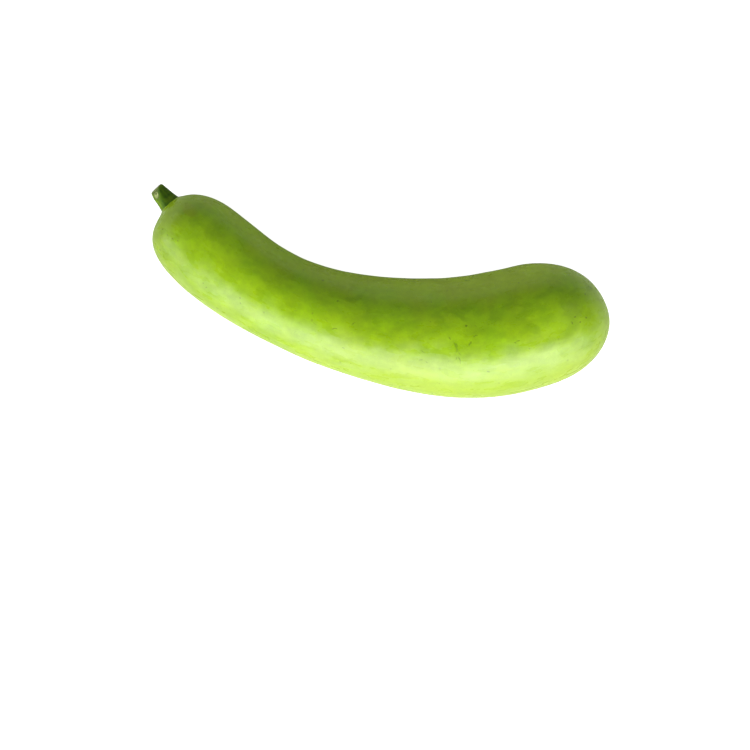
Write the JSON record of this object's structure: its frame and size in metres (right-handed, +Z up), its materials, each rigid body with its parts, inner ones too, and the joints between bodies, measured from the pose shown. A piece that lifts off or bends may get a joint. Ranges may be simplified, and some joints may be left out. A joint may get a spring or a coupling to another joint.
{
  "type": "bottle gourd",
  "caption": "Long bottle gourd lying on its side: a smooth green fruit that bends and swells from a slim neck to a rounded belly, with the cut stub of its stem.",
  "frame": {"origin": "under the middle of the bounding box, on the plane that the gourd lies on", "axes": "+X along the gourd's longest extent, from the stem end towards the blossom end; +Y towards the inside of its bend at the middle; +Z up"},
  "size_m": [0.2856, 0.1344, 0.078],
  "materials": {
    "skin": "smooth, waxy, satin",
    "stem": "ridged, matt, with a paler cut"
  },
  "bodies": {
    "root": {"fruit": "skin", "stem": "stem"}
  },
  "joints": []
}
